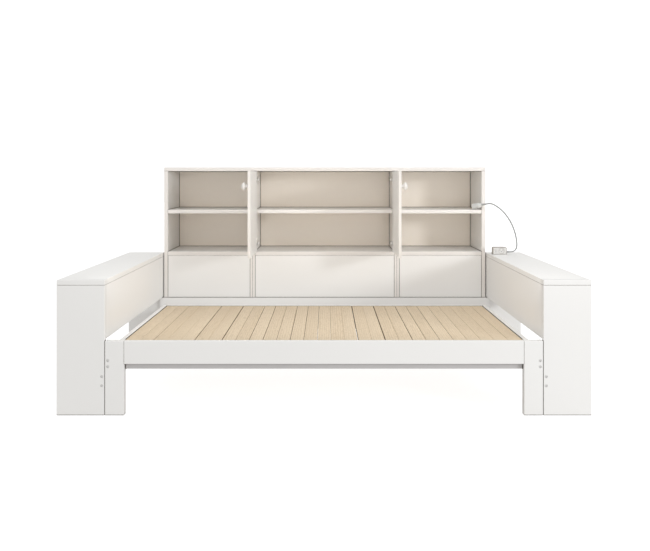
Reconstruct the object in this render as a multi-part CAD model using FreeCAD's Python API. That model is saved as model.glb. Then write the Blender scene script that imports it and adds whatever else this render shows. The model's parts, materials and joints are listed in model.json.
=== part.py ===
import FreeCAD, Part
import math
import os

# Bookcase headboard bed: a slatted platform between two side cabinets, with a
# three-bay bookcase across the back. Millimetres, +Z up, X along the bed.
# Depths are given from the front plane backwards; the origin lies on the floor
# under the middle of the whole object.

os.makedirs("parts", exist_ok=True)
Vector = FreeCAD.Vector

# ---------------------------------------------------------------- mattress
mattress_length = 1905.0
mattress_width = 991.0
mattress_end_play = 16.0
mattress_side_play = 6.0

# ---------------------------------------------------------------- platform
platform_top = 357.0
rail_height = 110.0
front_rail_thickness = 25.0
side_rail_thickness = 22.0
rear_rail_thickness = 22.0
ledger_height = 118.0
ledger_thickness = 25.0
ledger_end_gap = 1.5
slat_count = 29
slat_gap = 4.0
slat_thickness = 18.0
slat_recess = 3.0
slat_end_gap = 2.0
slat_leg_gap = 1.0
leg_width = 91.0
leg_thickness = 37.0
rear_leg_thickness = 25.0
rear_leg_drop = 22.0
tie_rail_height = 80.0
tie_rail_thickness = 28.0
tie_rail_bottom = 208.5
frame_side_gap = 61.5
cross_rail_thickness = 22.0
board_edge = 1.2

# ----------------------------------------------------------- side cabinets
cabinet_width = 231.0
cabinet_height = 650.0
cabinet_depth = 1380.0
cabinet_top_thickness = 25.0
cabinet_end_thickness = 25.0
cabinet_inner_thickness = 22.0
cabinet_deck_thickness = 22.0
cabinet_deck_bottom = 362.0
cabinet_divider_thickness = 16.0
cabinet_divider_count = 2
cabinet_divider_setback = 4.0
stretcher_height = 90.0
stretcher_thickness = 26.0
stretcher_bottom = 120.0
module_gap = 2.0

# ---------------------------------------------------------------- bookcase
bookcase_height = 1206.0
bookcase_depth = 400.0
bookcase_side_gap = 6.0
bookcase_reveal = 5.0
bookcase_side_thickness = 24.0
bookcase_top_thickness = 23.0
divider_board_thickness = 16.0
middle_bay_width = 909.0
shelf_thickness = 24.0
middle_shelf_top = 930.0
deck_shelf_top = 657.0
lower_panel_thickness = 18.0
lower_panel_inset = 1.0
lower_panel_gap = 1.5
bottom_board_thickness = 22.0
back_panel_thickness = 8.0
back_rail_thickness = 22.0
shelf_pin_radius = 2.5
shelf_pin_length = 16.0
shelf_pin_depth = 8.0
shelf_pin_inset = 40.0

# ------------------------------------------------------------------- doors
door_thickness = 17.0
door_gap = 3.0
door_edge_gap = 2.0
door_meeting_gap = 3.0
door_stand_off = 0.8
door_overlap = 3.3
shelf_door_clearance = 6.0
knob_cap_radius = 20.5
knob_cap_thickness = 18.0
knob_cap_underside_rise = 2.5
knob_cap_edge = 5.0
knob_cap_dome = 5.5
knob_foot_radius = 11.0
knob_waist_radius = 8.0
knob_waist_height = 10.0
knob_neck_radius = 9.0
knob_stem_length = 22.0
knob_screw_grip = 12.0
knob_screw_radius = 2.0
knob_screw_head_radius = 4.5
knob_screw_head_height = 2.2
knob_edge_distance = 35.0
knob_drop = 92.0
hinge_end_distance = 52.0
cup_radius = 17.5
cup_depth = 11.0
cup_wall = 1.5
cup_edge_distance = 22.0
cup_flange_radius = 20.5
cup_flange_thickness = 1.6
cup_ear_reach = 30.0
cup_ear_width = 13.0
cup_link_spacing = 16.0
cup_link_thickness = 2.5
cup_link_height = 6.0
cup_link_setback = 2.0
hinge_arm_width = 11.0
hinge_arm_thickness = 6.5
hinge_arm_stand = 19.0
hinge_arm_length = 56.0
hinge_arm_reach = 9.0
hinge_plate_length = 42.0
hinge_plate_height = 50.0
hinge_plate_thickness = 3.0
fit_gap = 0.3

# --------------------------------------------------------------- power hub
hub_width = 88.0
hub_height = 45.0
hub_depth = 62.0
hub_wall = 3.0
hub_corner_radius = 5.0
hub_setback = 1222.0
hub_side_distance = 20.0
hub_face_recess = 2.0
hub_face_thickness = 4.0
hub_face_fit = 0.3
socket_distance = 54.0
socket_radius = 17.0
socket_depth = 1.5
socket_hole_radius = 2.3
socket_hole_spread = 9.5
socket_hole_rise = 4.5
usb_distance = 17.0
usb_width = 13.0
usb_height = 5.5
usb_pitch = 12.0
usb_depth = 9.0
usb_wall = 1.5
usb_tongue_thickness = 2.0
usb_tongue_gap = 1.0
hub_gland_radius = 7.0
hub_gland_length = 20.0
hub_gland_height = 15.0
hub_gland_setback = 44.0
cord_diameter = 6.5
cord_sleeve_wall = 1.0

# Points of the cord's route: width, depth behind the front plane, height.
CORD_POINTS = [
    (1202.0, 1240.0, 665.0), (1219.5, 1240.0, 675.0), (1229.5, 1240.5, 692.5),
    (1230.5, 1241.0, 721.0), (1225.0, 1243.0, 765.0), (1211.0, 1246.0, 815.0),
    (1188.0, 1250.0, 866.0), (1152.0, 1254.0, 917.0), (1108.0, 1257.0, 955.0),
]
cord_lead = 38.0

# -------------------------------------------------------------------- plug
plug_radius = 19.0
plug_rim = 1.5
plug_neck_radius = 17.7
plug_length = 46.0
plug_shoulder_length = 20.0
plug_relief_radius = 7.5
plug_relief_length = 34.0
plug_turn = math.radians(45.0)
plug_rise = 0.2
plug_head_distance = 50.0
plug_head_setback = 30.0
plug_pin_radius = 2.4
plug_pin_length = 19.0
plug_pin_spacing = 19.0
plug_pin_seat = 5.0

# ------------------------------------------------------------------- bolts
bolt_head_radius = 6.0
bolt_head_height = 2.4
bolt_head_depth = 3.0
bolt_socket_radius = 2.6
bolt_socket_depth = 1.6
bolt_shank_radius = 3.0
bolt_length = 70.0
tie_bolt_spacing = 29.0
stretcher_bolt_spacing = 44.0

# -------------------------------------------------------- derived positions
field_half = mattress_length / 2 + mattress_end_play
field_front = front_rail_thickness
field_back = field_front + mattress_width + 2 * mattress_side_play
frame_half = field_half + side_rail_thickness + frame_side_gap
cabinet_inner_face = frame_half + module_gap
cabinet_outer_face = cabinet_inner_face + cabinet_width
rail_bottom = platform_top - rail_height
slat_top = platform_top - slat_recess
ledger_top = slat_top - slat_thickness
ledger_bottom = ledger_top - ledger_height
leg_inner = frame_half - leg_width

cabinet_back_face = cabinet_depth - cabinet_end_thickness
cross_rail_back = cabinet_back_face
cross_rail_front = cross_rail_back - cross_rail_thickness
cross_rail_half = cabinet_inner_face + cabinet_inner_thickness

bookcase_front = cross_rail_front + bookcase_reveal
bookcase_back = bookcase_front + bookcase_depth
bookcase_half = cabinet_inner_face - bookcase_side_gap
bay_back = bookcase_back - back_panel_thickness
side_inner = bookcase_half - bookcase_side_thickness
middle_half = middle_bay_width / 2
divider_outer = middle_half + 2 * divider_board_thickness
top_underside = bookcase_height - bookcase_top_thickness
middle_shelf_bottom = middle_shelf_top - shelf_thickness
deck_shelf_bottom = deck_shelf_top - shelf_thickness
shelf_setback = door_thickness + shelf_door_clearance

total_depth = bookcase_back
half_depth = total_depth / 2


# ------------------------------------------------------------------ helpers
def place(x, y, z):
    """Point from the width, the depth behind the front plane and the height."""
    return Vector(x, y - half_depth, z)


def box(x0, x1, y0, y1, z0, z1):
    return Part.makeBox(x1 - x0, y1 - y0, z1 - z0, place(x0, y0, z0))


def board(x0, x1, y0, y1, z0, z1, edge=board_edge):
    """Board with its long arrises eased along every edge."""
    shape = box(x0, x1, y0, y1, z0, z1)
    thinnest = min(x1 - x0, y1 - y0, z1 - z0)
    return shape.makeChamfer(min(edge, thinnest / 5), shape.Edges)


def sided_board(side, x0, x1, y0, y1, z0, z1):
    """Board on the left (-1) or right (+1), its x given outwards from the middle."""
    near, far = sorted((side * x0, side * x1))
    return board(near, far, y0, y1, z0, z1)


def rod(radius, length, start, direction):
    return Part.makeCylinder(radius, length, start, direction)


def group(shapes):
    return Part.makeCompound(shapes)


def write(name, shape):
    for solid in shape.Solids:
        if not solid.isValid():
            raise ValueError(name + " is not a valid solid")
    shape.exportStep("parts/" + name + ".step")


SIDES = {"left": -1, "right": 1}
BACKWARD = Vector(0, 1, 0)
UP = Vector(0, 0, 1)


# -------------------------------------------------------------------- bolts
def bolt_places():
    """Face depth, width and height of each bolt head on the front."""
    tie_x = frame_half - tie_rail_thickness / 2
    tie_z = tie_rail_bottom + tie_rail_height / 2
    stretcher_x = cabinet_inner_face + stretcher_thickness / 2
    stretcher_z = stretcher_bottom + stretcher_height / 2
    places = []
    for side in SIDES.values():
        for up in (-0.5, 0.5):
            places.append((side * tie_x, tie_z + up * tie_bolt_spacing))
            places.append((side * stretcher_x, stretcher_z + up * stretcher_bolt_spacing))
    return places


def bolt(x, z):
    """Low round head sunk just below the front face, with a shank back into the rail."""
    head_front = bolt_head_depth - bolt_head_height
    head = rod(bolt_head_radius, bolt_head_height, place(x, head_front, z), BACKWARD)
    shank = rod(bolt_shank_radius, bolt_length, place(x, head_front, z), BACKWARD)
    socket = rod(bolt_socket_radius, bolt_socket_depth, place(x, head_front, z), BACKWARD)
    return head.fuse(shank).removeSplitter().cut(socket)


def drill(shape, places):
    """Bore each bolt's hole and the shallow seat for its head."""
    for x, z in places:
        hole = rod(bolt_shank_radius + fit_gap, bolt_head_depth + bolt_length, place(x, 0, z), BACKWARD)
        seat = rod(bolt_head_radius + fit_gap, bolt_head_depth, place(x, 0, z), BACKWARD)
        shape = shape.cut(hole).cut(seat)
    return shape


BOLTS = bolt_places()
write("frame_bolts", group([bolt(x, z) for x, z in BOLTS]))


# ----------------------------------------------------------------- platform
def slats():
    """Slats side by side across the field, clear of both front legs."""
    slat_half = leg_inner - slat_leg_gap
    pitch = (2 * slat_half + slat_gap) / slat_count
    width = pitch - slat_gap
    shapes = []
    for index in range(slat_count):
        left = -slat_half + index * pitch
        shapes.append(board(left, left + width, field_front + slat_end_gap, field_back - slat_end_gap,
                            ledger_top, slat_top))
    return group(shapes)


write("bed_slats", slats())
write("front_rail", board(-leg_inner, leg_inner, 0, front_rail_thickness, rail_bottom, platform_top))
write("rear_rail", board(-field_half, field_half, field_back, field_back + rear_rail_thickness,
                         rail_bottom, platform_top))
front_ledger_half = leg_inner - ledger_end_gap
rear_ledger_half = field_half - ledger_end_gap
write("front_ledger", board(-front_ledger_half, front_ledger_half, field_front,
                            field_front + ledger_thickness, ledger_bottom, ledger_top))
write("rear_ledger", board(-rear_ledger_half, rear_ledger_half, field_back - ledger_thickness,
                           field_back, ledger_bottom, ledger_top))

rear_leg_front = field_back + rear_rail_thickness
for name, side in SIDES.items():
    write("side_rail_" + name,
          sided_board(side, field_half, field_half + side_rail_thickness,
                      leg_thickness, rear_leg_front, rail_bottom, platform_top))
    leg = sided_board(side, leg_inner, frame_half, 0, leg_thickness, 0, platform_top)
    write("front_leg_" + name, drill(leg, BOLTS))
    write("rear_leg_" + name,
          sided_board(side, field_half - leg_width, field_half, rear_leg_front,
                      rear_leg_front + rear_leg_thickness, 0, platform_top - rear_leg_drop))
    tie_rail = sided_board(side, frame_half - tie_rail_thickness, frame_half, leg_thickness,
                           cross_rail_front, tie_rail_bottom, tie_rail_bottom + tie_rail_height)
    write("tie_rail_" + name, drill(tie_rail, BOLTS))

write("cross_rail", board(-cross_rail_half, cross_rail_half, cross_rail_front, cross_rail_back,
                          rail_bottom, platform_top))


# ------------------------------------------------------------ side cabinets
def cabinet(name, side):
    inner, outer = cabinet_inner_face, cabinet_outer_face
    lining = inner + cabinet_inner_thickness
    under_top = cabinet_height - cabinet_top_thickness
    deck_top = cabinet_deck_bottom + cabinet_deck_thickness
    front, back = cabinet_end_thickness, cabinet_back_face
    write("cabinet_top_" + name,
          sided_board(side, inner, outer, 0, cabinet_depth, under_top, cabinet_height))
    front_panel = sided_board(side, inner, outer, 0, front, 0, under_top)
    write("cabinet_front_" + name, drill(front_panel, BOLTS))
    write("cabinet_back_" + name, sided_board(side, inner, outer, back, cabinet_depth, 0, under_top))
    write("cabinet_inner_" + name,
          sided_board(side, inner, lining, front, back, cabinet_deck_bottom, under_top))
    write("cabinet_deck_" + name,
          sided_board(side, lining, outer, front, back, cabinet_deck_bottom, deck_top))
    stretcher = sided_board(side, inner, inner + stretcher_thickness, front, back,
                            stretcher_bottom, stretcher_bottom + stretcher_height)
    write("cabinet_stretcher_" + name, drill(stretcher, BOLTS))
    clear = back - front
    bay = (clear - cabinet_divider_count * cabinet_divider_thickness) / (cabinet_divider_count + 1)
    uprights = []
    for index in range(cabinet_divider_count):
        start = front + (index + 1) * bay + index * cabinet_divider_thickness
        uprights.append(sided_board(side, lining, outer - cabinet_divider_setback, start,
                                    start + cabinet_divider_thickness, deck_top, under_top))
    write("cabinet_dividers_" + name, group(uprights))


for name, side in SIDES.items():
    cabinet(name, side)


# ----------------------------------------------------------------- bookcase
def shelf_pins():
    """Four steel pins under each of the three middle shelves."""
    bays = [(-side_inner, -divider_outer, 0), (-middle_half, middle_half, shelf_setback),
            (divider_outer, side_inner, 0)]
    pins = []
    for left, right, setback in bays:
        for y in (bookcase_front + setback + shelf_pin_inset, bay_back - shelf_pin_inset):
            z = middle_shelf_bottom - shelf_pin_radius
            pins.append(rod(shelf_pin_radius, shelf_pin_length,
                            place(left - shelf_pin_depth, y, z), Vector(1, 0, 0)))
            pins.append(rod(shelf_pin_radius, shelf_pin_length,
                            place(right + shelf_pin_depth, y, z), Vector(-1, 0, 0)))
    return pins


PINS = shelf_pins()


def pinned(shape):
    for pin in PINS:
        if pin.BoundBox.intersect(shape.BoundBox):
            shape = shape.cut(pin)
    return shape


for name, side in SIDES.items():
    upright = sided_board(side, side_inner, bookcase_half, bookcase_front, bookcase_back,
                          0, top_underside)
    notch = box(-bookcase_half, bookcase_half, cross_rail_front, cross_rail_back, 0, platform_top)
    write("bookcase_side_" + name, pinned(upright.cut(notch)))
    boards = []
    for index in range(2):
        start = middle_half + index * divider_board_thickness
        boards.append(pinned(sided_board(side, start, start + divider_board_thickness, bookcase_front,
                                         bay_back, platform_top, top_underside)))
    write("bookcase_divider_" + name, group(boards))

write("shelf_pins", group(PINS))
write("bookcase_top", board(-bookcase_half, bookcase_half, bookcase_front, bookcase_back,
                            top_underside, bookcase_height))

BAYS = {"left": (-side_inner, -divider_outer), "middle": (-middle_half, middle_half),
        "right": (divider_outer, side_inner)}
bottom_board_top = platform_top + bottom_board_thickness
panel_back = bookcase_front + lower_panel_inset + lower_panel_thickness
decks = []
bottoms = []
for name, (left, right) in BAYS.items():
    setback = shelf_setback if name == "middle" else 0
    write("middle_shelf_" + name, board(left, right, bookcase_front + setback, bay_back,
                                        middle_shelf_bottom, middle_shelf_top))
    decks.append(board(left, right, bookcase_front, bay_back, deck_shelf_bottom, deck_shelf_top))
    bottoms.append(board(left, right, panel_back, bay_back, platform_top, bottom_board_top))
    write("lower_panel_" + name, board(left + lower_panel_gap, right - lower_panel_gap,
                                       bookcase_front + lower_panel_inset, panel_back,
                                       platform_top + lower_panel_gap, deck_shelf_bottom))
write("deck_shelves", group(decks))
write("bottom_boards", group(bottoms))
write("back_panel", board(-side_inner, side_inner, bay_back, bookcase_back,
                          platform_top, top_underside))
write("back_rail", board(-side_inner, side_inner, bay_back - back_rail_thickness, bay_back,
                         rail_bottom, platform_top))


# -------------------------------------------------------------------- doors
# Each door is built on the left and mirrored for the right. It stands open at
# a right angle, just ahead of the divider. The hinge linkage turns it about an
# axis door_overlap - door_edge_gap + door_stand_off, halved, outside the middle
# bay and door_overlap + door_edge_gap - door_stand_off, halved, behind the front.
door_outer_x = -(middle_half + door_overlap)
door_inner_x = door_outer_x + door_thickness
door_width = middle_half - door_edge_gap - door_meeting_gap / 2
door_back = bookcase_front - door_stand_off
door_front = door_back - door_width
door_bottom = deck_shelf_top + door_gap
door_top = top_underside - door_gap
cup_y = door_back - cup_edge_distance
hinge_heights = (door_bottom + hinge_end_distance, door_top - hinge_end_distance)
knob_y = door_front + knob_edge_distance
knob_z = door_top - knob_drop
RIGHTWARD = Vector(1, 0, 0)
LEFTWARD = Vector(-1, 0, 0)


def door():
    shape = board(door_outer_x, door_inner_x, door_front, door_back, door_bottom, door_top)
    for z in hinge_heights:
        pocket = rod(cup_radius + fit_gap, cup_depth + fit_gap,
                     place(door_inner_x - cup_depth - fit_gap, cup_y, z), RIGHTWARD)
        shape = shape.cut(pocket)
    hole = rod(knob_screw_radius + fit_gap, door_thickness, place(door_outer_x, knob_y, knob_z), RIGHTWARD)
    return shape.cut(hole)


def hinge_cup(z):
    """Pressed cup with its eared flange and the two side plates of the link."""
    start = place(door_inner_x - cup_depth, cup_y, z)
    cup = rod(cup_radius, cup_depth + cup_flange_thickness, start, RIGHTWARD)
    flange = rod(cup_flange_radius, cup_flange_thickness, place(door_inner_x, cup_y, z), RIGHTWARD)
    hollow = rod(cup_radius - cup_wall, cup_depth + cup_flange_thickness,
                 place(door_inner_x - cup_depth + cup_wall, cup_y, z), RIGHTWARD)
    ears = box(door_inner_x, door_inner_x + cup_flange_thickness, cup_y - cup_ear_width / 2,
               cup_y + cup_ear_width / 2, z - cup_ear_reach, z + cup_ear_reach)
    shape = cup.fuse(flange).fuse(ears).removeSplitter().cut(hollow)
    link_x = door_inner_x + cup_flange_thickness
    for side in (-1, 1):
        middle = z + side * cup_link_spacing / 2
        plate = box(door_inner_x, link_x + cup_link_height, cup_y, door_back - cup_link_setback,
                    middle - cup_link_thickness / 2, middle + cup_link_thickness / 2)
        rim = rod(cup_radius - cup_wall, cup_link_height + cup_flange_thickness,
                  place(door_inner_x, cup_y, z), RIGHTWARD)
        shape = shape.fuse(plate.cut(rim))
    return shape.removeSplitter()


def hinge_arm(z):
    """Mounting plate on the divider and the arm that reaches out of the carcass."""
    face = -middle_half
    arm_front = bookcase_front + hinge_arm_reach
    carcass_front = bookcase_front + door_thickness + shelf_door_clearance
    plate = box(face, face + hinge_plate_thickness, carcass_front, carcass_front + hinge_plate_length,
                z - hinge_plate_height / 2, z + hinge_plate_height / 2)
    tip_x = face + hinge_arm_stand
    bar = box(tip_x, tip_x + hinge_arm_thickness, arm_front, arm_front + hinge_arm_length,
              z - hinge_arm_width / 2, z + hinge_arm_width / 2)
    saddle = box(face + hinge_plate_thickness, tip_x, carcass_front + door_gap,
                 carcass_front + hinge_plate_length - door_gap,
                 z - hinge_arm_width / 2, z + hinge_arm_width / 2)
    return plate.fuse(saddle).fuse(bar).removeSplitter()


def knob():
    """Mushroom knob on the outer face: a waisted stem under a cap with a ball-shaped crown."""
    lip = knob_cap_radius - knob_cap_edge
    cap_foot = knob_stem_length + knob_cap_underside_rise
    crown = knob_stem_length + knob_cap_thickness
    shoulder = crown - knob_cap_dome
    ball = (lip ** 2 + knob_cap_dome ** 2) / (2 * knob_cap_dome)
    half_way = math.asin(lip / ball) / 2

    def at(radius, height):
        return Vector(radius, 0, height)

    edges = [
        Part.LineSegment(at(0, 0), at(knob_foot_radius, 0)),
        Part.Arc(at(knob_foot_radius, 0), at(knob_waist_radius, knob_waist_height),
                 at(knob_neck_radius, knob_stem_length)),
        Part.LineSegment(at(knob_neck_radius, knob_stem_length), at(lip, cap_foot)),
        Part.Arc(at(lip, cap_foot), at(knob_cap_radius, (cap_foot + shoulder) / 2), at(lip, shoulder)),
        Part.Arc(at(lip, shoulder),
                 at(ball * math.sin(half_way), crown - ball + ball * math.cos(half_way)), at(0, crown)),
        Part.LineSegment(at(0, crown), at(0, 0)),
    ]
    outline = Part.Wire([edge.toShape() for edge in edges])
    shape = Part.Face(outline).revolve(Vector(0, 0, 0), UP, 360)
    if shape.Volume < 0:
        shape.reverse()
    shape.rotate(Vector(0, 0, 0), Vector(0, 1, 0), -90)
    shape.translate(place(door_outer_x, knob_y, knob_z))
    return shape


def knob_screw():
    length = door_thickness + knob_screw_grip
    head = rod(knob_screw_head_radius, knob_screw_head_height,
               place(door_inner_x, knob_y, knob_z), RIGHTWARD)
    shank = rod(knob_screw_radius, length, place(door_inner_x, knob_y, knob_z), LEFTWARD)
    return head.fuse(shank).removeSplitter()


def mirrored(shape):
    return shape.mirror(Vector(0, 0, 0), RIGHTWARD)


screw = knob_screw()
left_parts = {
    "door": door(),
    "knob": group([knob().cut(screw), screw]),
    "hinge_cups": group([hinge_cup(z) for z in hinge_heights]),
}
for name, shape in left_parts.items():
    write(name + "_left", shape)
    write(name + "_right", mirrored(shape))
arms = [hinge_arm(z) for z in hinge_heights]
write("hinge_arms", group(arms + [mirrored(arm) for arm in arms]))


# ---------------------------------------------------------------- power hub
hub_left = cabinet_inner_face + hub_side_distance
hub_right = hub_left + hub_width
hub_bottom = cabinet_height
hub_top = hub_bottom + hub_height
hub_back = hub_setback + hub_depth
hub_middle_z = (hub_bottom + hub_top) / 2
face_front = hub_setback + hub_face_recess
face_back = face_front + hub_face_thickness


def hub_case():
    outer = box(hub_left, hub_right, hub_setback, hub_back, hub_bottom, hub_top)
    upright = [edge for edge in outer.Edges if abs(edge.tangentAt(edge.FirstParameter).z) > 0.9]
    outer = outer.makeFillet(hub_corner_radius, upright)
    inner = box(hub_left + hub_wall, hub_right - hub_wall, hub_setback, hub_back - hub_wall,
                hub_bottom + hub_wall, hub_top - hub_wall)
    return outer.cut(inner)


def usb_port(x, z):
    """Pocket with its tongue left standing inside."""
    pocket_back = face_front + usb_depth
    pocket = box(x - usb_width / 2, x + usb_width / 2, face_front, pocket_back,
                 z - usb_height / 2, z + usb_height / 2)
    tongue = box(x - usb_width / 2 + usb_tongue_gap, x + usb_width / 2 - usb_tongue_gap,
                 face_front + usb_tongue_gap, pocket_back,
                 z - usb_tongue_thickness / 2, z + usb_tongue_thickness / 2)
    return pocket.cut(tongue)


def hub_face():
    edge = hub_wall + hub_face_fit
    face = box(hub_left + edge, hub_right - edge, face_front, face_back,
               hub_bottom + edge, hub_top - edge)
    usb_x = hub_left + usb_distance
    block = box(usb_x - usb_width / 2 - usb_wall, usb_x + usb_width / 2 + usb_wall, face_front,
                face_front + usb_depth + usb_wall, hub_middle_z - usb_pitch / 2 - usb_height,
                hub_middle_z + usb_pitch / 2 + usb_height)
    face = face.fuse(block).removeSplitter()
    for side in (-1, 1):
        face = face.cut(usb_port(usb_x, hub_middle_z + side * usb_pitch / 2))
    socket_x = hub_left + socket_distance
    dish = rod(socket_radius, socket_depth, place(socket_x, face_front, hub_middle_z), BACKWARD)
    face = face.cut(dish)
    for x, z in ((-1, 1), (1, 1), (0, -1)):
        spot = place(socket_x + x * socket_hole_spread, face_front, hub_middle_z + z * socket_hole_rise)
        face = face.cut(rod(socket_hole_radius, hub_face_thickness, spot, BACKWARD))
    return face


gland_y = hub_back - hub_gland_setback
gland_z = hub_bottom + hub_gland_height


def hub_gland():
    """Collar through the right wall that grips the cord."""
    start = place(hub_right - hub_wall, gland_y, gland_z)
    collar = Part.makeCone(hub_gland_radius, cord_diameter / 2 + cord_sleeve_wall, hub_gland_length,
                           place(hub_right, gland_y, gland_z), RIGHTWARD)
    return rod(hub_gland_radius, hub_wall, start, RIGHTWARD).fuse(collar).removeSplitter()


gland = hub_gland()
write("hub_case", hub_case().cut(rod(hub_gland_radius, hub_wall,
                                     place(hub_right - hub_wall, gland_y, gland_z), RIGHTWARD)))
write("hub_face", hub_face())
write("hub_gland", gland)


# --------------------------------------------------------------------- plug
# The plug lies on the right middle shelf with its pins towards the back of the
# bay; its rim rests on the shelf and the stiff cord lifts its tail.
plug_tilt = math.asin(plug_rise)
plug_plan = math.cos(plug_tilt)
plug_axis = Vector(plug_plan * math.cos(plug_turn), -plug_plan * math.sin(plug_turn), plug_rise)
plug_head = place(side_inner - plug_head_distance, bookcase_front + plug_head_setback,
                  middle_shelf_top + plug_radius * plug_plan)


def turned(points):
    """Solid of revolution from (distance along the plug, radius) points."""
    edges = []
    for (d0, r0), (d1, r1) in zip(points, points[1:]):
        edges.append(Part.LineSegment(Vector(r0, 0, d0), Vector(r1, 0, d1)).toShape())
    edges.append(Part.LineSegment(Vector(points[-1][1], 0, points[-1][0]),
                                  Vector(points[0][1], 0, points[0][0])).toShape())
    shape = Part.Face(Part.Wire(edges)).revolve(Vector(0, 0, 0), UP, 360)
    if shape.Volume < 0:
        shape.reverse()
    return shape


def along_plug(shape):
    shape.Placement = FreeCAD.Placement(plug_head, FreeCAD.Rotation(UP, plug_axis))
    return shape


plug_total = plug_length + plug_shoulder_length + plug_relief_length
plug_outline = [(0, 0), (0, plug_radius - plug_rim), (plug_rim, plug_radius), (plug_length, plug_neck_radius),
                (plug_length + plug_shoulder_length, plug_relief_radius),
                (plug_total, cord_diameter / 2 + cord_sleeve_wall), (plug_total, 0)]
plug_body = turned(plug_outline)
pins = []
for side in (-0.5, 0.5):
    start = Vector(0, side * plug_pin_spacing, plug_pin_seat)
    pins.append(rod(plug_pin_radius, plug_pin_length + plug_pin_seat, start, Vector(0, 0, -1)))
for pin in pins:
    plug_body = plug_body.cut(pin)
write("plug_body", along_plug(plug_body))
write("plug_pins", along_plug(group(pins)))


# --------------------------------------------------------------------- cord
# Straight out of the gland, up in one stiff bow beside the bookcase and along
# the plug's own axis, over cord_lead, into its tail.
cord_start = place(hub_right + hub_gland_length, gland_y, gland_z)
cord_end = plug_head + plug_axis * plug_total
cord_turn = cord_end + plug_axis * cord_lead
cord_route = [cord_start] + [place(*point) for point in CORD_POINTS] + [cord_turn, cord_end]
print("cord ends at %.1f %.1f %.1f after %.1f %.1f %.1f" % (*cord_end, *cord_turn))


def cord_path(points):
    """Straight runs joined by arcs as large as the shorter run beside each point allows."""
    edges = []
    radii = []
    last = points[0]
    for before, corner, after in zip(points, points[1:], points[2:]):
        back = before - corner
        ahead = after - corner
        turn = math.pi - back.getAngle(ahead)
        reach = 0.45 * min(back.Length, ahead.Length)
        radii.append(reach / math.tan(turn / 2))
        back.normalize()
        ahead.normalize()
        arc_start = corner + back * reach
        arc_end = corner + ahead * reach
        middle = (back + ahead).normalize()
        inset = radii[-1] * (1 / math.cos(turn / 2) - 1)
        edges.append(Part.LineSegment(last, arc_start).toShape())
        edges.append(Part.Arc(arc_start, corner + middle * inset, arc_end).toShape())
        last = arc_end
    edges.append(Part.LineSegment(last, points[-1]).toShape())
    return Part.Wire(edges), radii


path, radii = cord_path(cord_route)
start_tangent = (cord_route[1] - cord_route[0]).normalize()
section = Part.Wire([Part.Circle(cord_route[0], start_tangent, cord_diameter / 2).toShape()])
cord = path.makePipeShell([section], True, False)
if cord.Volume < 0:
    cord.reverse()
write("power_cord", cord)
section_area = math.pi * cord_diameter ** 2 / 4
print("cord length %.1f mm, radii %s" % (path.Length, " ".join("%.0f" % radius for radius in radii)))
print("cord volume over section times length %.4f" % (cord.Volume / (section_area * path.Length)))
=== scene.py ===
"""Bookcase headboard bed: painted boards, timber slats, door hardware, power hub, cord and stage."""
import json
import math

import bmesh
import bpy
from bpy.props import FloatProperty, FloatVectorProperty, IntProperty, PointerProperty
from mathutils import Matrix, Vector

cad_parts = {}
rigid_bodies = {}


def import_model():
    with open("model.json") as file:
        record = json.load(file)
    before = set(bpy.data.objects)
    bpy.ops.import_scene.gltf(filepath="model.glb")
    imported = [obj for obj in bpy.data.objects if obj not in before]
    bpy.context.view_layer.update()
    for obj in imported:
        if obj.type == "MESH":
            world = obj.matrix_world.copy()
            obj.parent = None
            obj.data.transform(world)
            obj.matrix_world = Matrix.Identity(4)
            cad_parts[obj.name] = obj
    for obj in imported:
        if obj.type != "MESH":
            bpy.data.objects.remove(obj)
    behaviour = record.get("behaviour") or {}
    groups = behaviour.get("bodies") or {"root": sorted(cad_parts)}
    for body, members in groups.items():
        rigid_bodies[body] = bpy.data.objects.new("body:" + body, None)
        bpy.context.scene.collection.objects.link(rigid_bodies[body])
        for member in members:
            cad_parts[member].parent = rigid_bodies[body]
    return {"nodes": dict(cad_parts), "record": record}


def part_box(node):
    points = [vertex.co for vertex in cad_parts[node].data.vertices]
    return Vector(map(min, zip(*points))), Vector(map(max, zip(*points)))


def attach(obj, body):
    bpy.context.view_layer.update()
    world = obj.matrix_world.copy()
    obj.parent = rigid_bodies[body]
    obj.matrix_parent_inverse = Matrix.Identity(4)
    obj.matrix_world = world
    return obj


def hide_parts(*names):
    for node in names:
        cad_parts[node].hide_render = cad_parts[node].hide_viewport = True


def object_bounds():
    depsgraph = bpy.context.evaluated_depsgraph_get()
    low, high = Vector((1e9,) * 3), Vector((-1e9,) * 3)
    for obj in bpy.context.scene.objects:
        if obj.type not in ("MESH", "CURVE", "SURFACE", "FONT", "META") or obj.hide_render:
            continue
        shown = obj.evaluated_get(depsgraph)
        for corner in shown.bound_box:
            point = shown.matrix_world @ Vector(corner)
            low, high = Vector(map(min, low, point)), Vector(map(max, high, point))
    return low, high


bl_info = {
    "name": "Bookcase Headboard Bed",
    "version": (1, 0, 0),
    "blender": (4, 5, 0),
    "location": "View3D > Sidebar > Bed",
    "description": "Finishes and fits out a slatted bed with side cabinets and a bookcase headboard",
    "category": "Object",
}

for leftover in list(bpy.data.objects):
    bpy.data.objects.remove(leftover)
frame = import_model()
CAD_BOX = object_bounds()

MM = 0.001
ROOT = "root"
DOORS = {"left": "door_left", "right": "door_right"}
BOARD_SLOT = "board_white"


# ---- settings
COLOUR = {"subtype": "COLOR", "size": 3, "min": 0.0, "max": 1.0}
SHARE = {"subtype": "FACTOR", "min": 0.0, "max": 1.0}


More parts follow.
